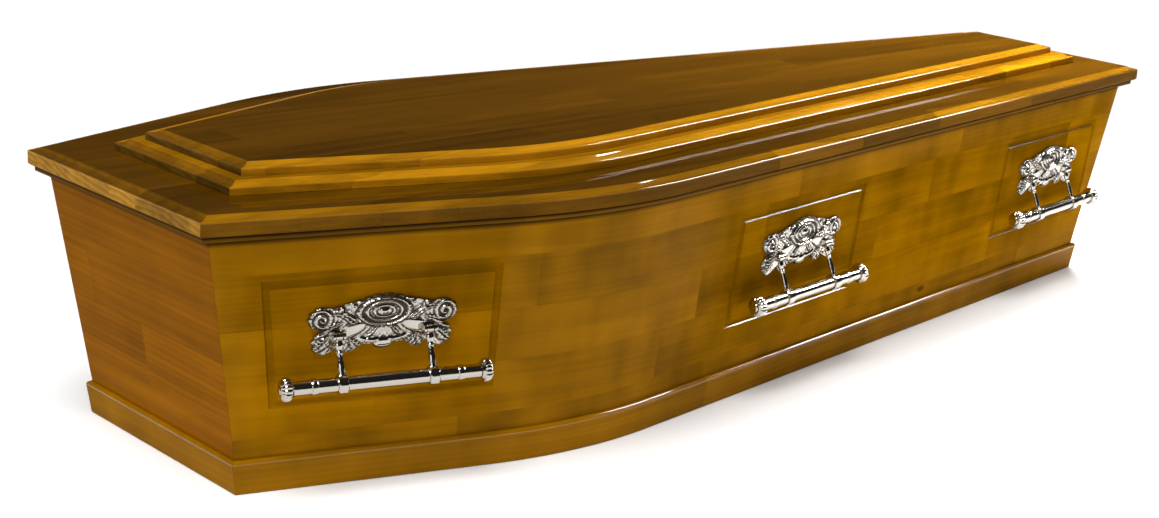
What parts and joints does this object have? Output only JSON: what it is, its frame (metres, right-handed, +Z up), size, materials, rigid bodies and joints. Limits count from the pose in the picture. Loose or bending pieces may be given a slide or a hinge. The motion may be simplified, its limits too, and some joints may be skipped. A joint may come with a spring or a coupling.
{
  "type": "wooden coffin",
  "caption": "Varnished pine coffin with bent shoulders, leaning walls, plinth and rim mouldings, a stepped raised lid and hinged bright-metal bar handles on cast plates.",
  "frame": {"origin": "on the floor, below the middle of the coffin's length and width", "axes": "+X towards the foot end, +Z up, the side seen in the picture at -Y"},
  "size_m": [2, 0.7304, 0.4102],
  "materials": {
    "side_pine": "gloss golden brown varnish over lengthwise pine staves",
    "end_pine": "gloss orange-brown varnish over crosswise pine grain",
    "moulding_pine": "gloss golden brown varnish",
    "lid_pine": "high gloss brown varnish",
    "bright_metal": "bright plated casting"
  },
  "bodies": {
    "coffin": {"base_board": "side_pine", "side_board_near": "side_pine", "side_board_far": "side_pine", "head_board": "end_pine", "foot_board": "end_pine", "plinth_near": "moulding_pine", "plinth_far": "moulding_pine", "plinth_head": "moulding_pine", "plinth_foot": "moulding_pine", "rim_near": "moulding_pine", "rim_far": "moulding_pine", "rim_head": "moulding_pine", "rim_foot": "moulding_pine", "lid_board": "lid_pine", "raised_board_lower": "lid_pine", "raised_board_upper": "lid_pine", "handle_plate_near_head": "bright_metal", "handle_plate_near_middle": "bright_metal", "handle_plate_near_foot": "bright_metal", "handle_plate_far_head": "bright_metal", "handle_plate_far_middle": "bright_metal", "handle_plate_far_foot": "bright_metal"},
    "handle_near_head": {"handle_bar_near_head": "bright_metal", "handle_arm_near_head_a": "bright_metal", "handle_arm_near_head_b": "bright_metal", "handle_cap_near_head_a": "bright_metal", "handle_cap_near_head_b": "bright_metal"},
    "handle_near_middle": {"handle_bar_near_middle": "bright_metal", "handle_arm_near_middle_a": "bright_metal", "handle_arm_near_middle_b": "bright_metal", "handle_cap_near_middle_a": "bright_metal", "handle_cap_near_middle_b": "bright_metal"},
    "handle_near_foot": {"handle_bar_near_foot": "bright_metal", "handle_arm_near_foot_a": "bright_metal", "handle_arm_near_foot_b": "bright_metal", "handle_cap_near_foot_a": "bright_metal", "handle_cap_near_foot_b": "bright_metal"},
    "handle_far_head": {"handle_bar_far_head": "bright_metal", "handle_arm_far_head_a": "bright_metal", "handle_arm_far_head_b": "bright_metal", "handle_cap_far_head_a": "bright_metal", "handle_cap_far_head_b": "bright_metal"},
    "handle_far_middle": {"handle_bar_far_middle": "bright_metal", "handle_arm_far_middle_a": "bright_metal", "handle_arm_far_middle_b": "bright_metal", "handle_cap_far_middle_a": "bright_metal", "handle_cap_far_middle_b": "bright_metal"},
    "handle_far_foot": {"handle_bar_far_foot": "bright_metal", "handle_arm_far_foot_a": "bright_metal", "handle_arm_far_foot_b": "bright_metal", "handle_cap_far_foot_a": "bright_metal", "handle_cap_far_foot_b": "bright_metal"}
  },
  "joints": [
    {"name": "lift_handle_near_head", "type": "hinge", "parent": "coffin", "child": "handle_near_head", "pos_m": [-0.7582, -0.25909, 0.20843], "axis": [-0.9538, 0.3004, 0], "range_deg": [0, 90]},
    {"name": "lift_handle_near_middle", "type": "hinge", "parent": "coffin", "child": "handle_near_middle", "pos_m": [0.00023, -0.29441, 0.20843], "axis": [-0.9928, -0.1198, 0], "range_deg": [0, 90]},
    {"name": "lift_handle_near_foot", "type": "hinge", "parent": "coffin", "child": "handle_near_foot", "pos_m": [0.75651, -0.20317, 0.20843], "axis": [-0.9928, -0.1198, 0], "range_deg": [0, 90]},
    {"name": "lift_handle_far_head", "type": "hinge", "parent": "coffin", "child": "handle_far_head", "pos_m": [-0.7582, 0.25909, 0.20843], "axis": [0.9538, 0.3004, 0], "range_deg": [0, 90]},
    {"name": "lift_handle_far_middle", "type": "hinge", "parent": "coffin", "child": "handle_far_middle", "pos_m": [0.00023, 0.29441, 0.20843], "axis": [0.9928, -0.1198, 0], "range_deg": [0, 90]},
    {"name": "lift_handle_far_foot", "type": "hinge", "parent": "coffin", "child": "handle_far_foot", "pos_m": [0.75651, 0.20317, 0.20843], "axis": [0.9928, -0.1198, 0], "range_deg": [0, 90]}
  ]
}
